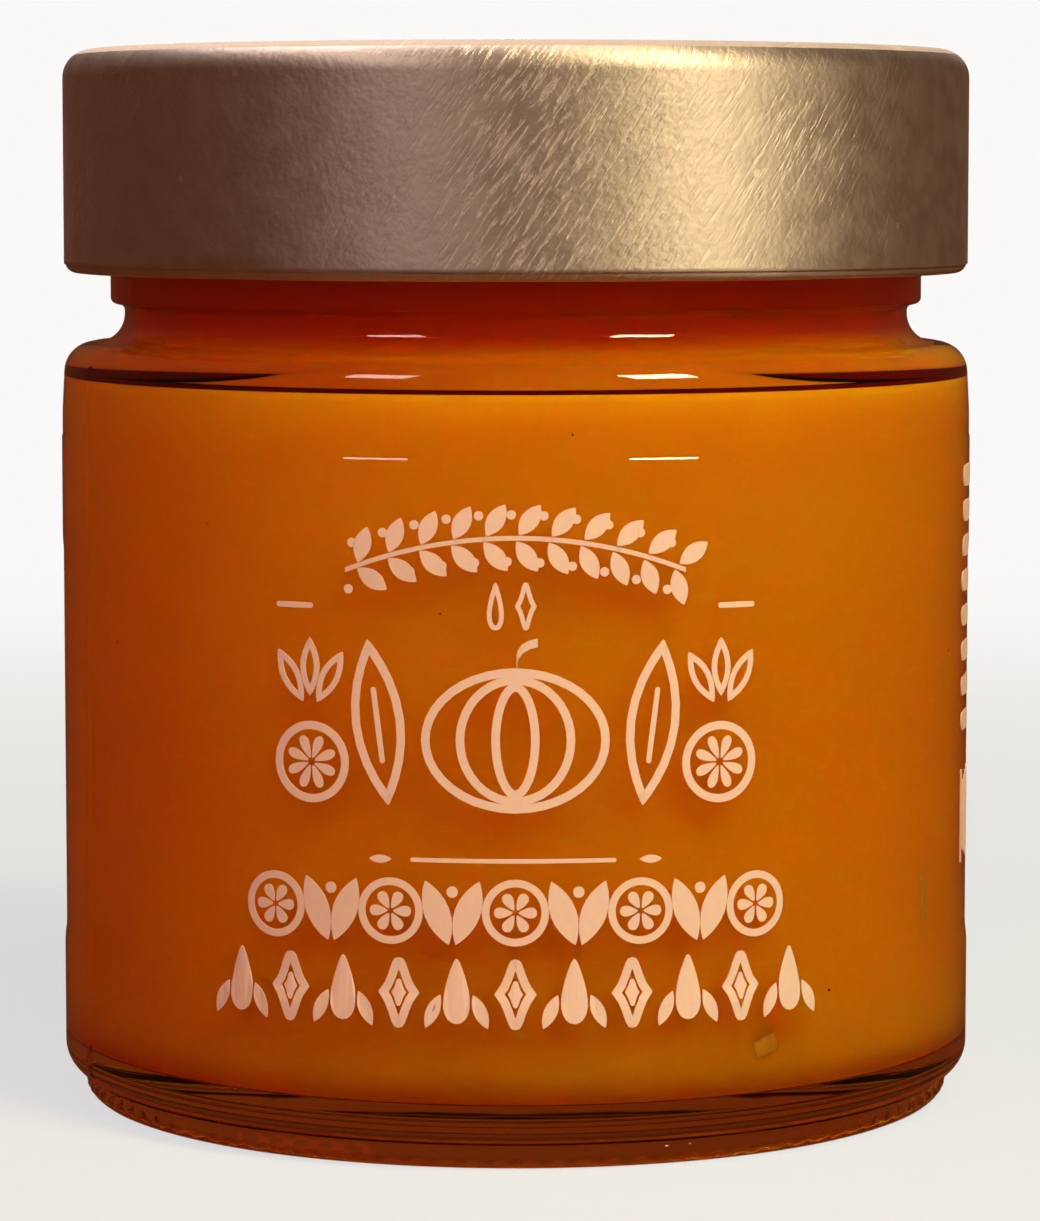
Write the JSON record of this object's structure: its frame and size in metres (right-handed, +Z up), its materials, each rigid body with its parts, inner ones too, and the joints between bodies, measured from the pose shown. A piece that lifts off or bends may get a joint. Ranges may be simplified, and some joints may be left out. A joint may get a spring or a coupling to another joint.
{
  "type": "jar of squash jam",
  "caption": "Straight-sided clear glass jar of orange squash jam, closed by a deep satin metal twist-off lid of the same width.",
  "frame": {"origin": "centre of the ring the jar stands on, at its lowest point", "axes": "+Z up along the jar's axis; the printed front faces -Y and +X is to its right"},
  "size_m": [0.072, 0.072, 0.0826],
  "materials": {
    "clear_glass": "clear polished",
    "lid_tinplate": "satin silver lacquer",
    "squash_jam": "translucent orange jam"
  },
  "bodies": {
    "root": {"glass_jar": "clear_glass", "jam": "squash_jam", "lid": "lid_tinplate"}
  },
  "joints": []
}
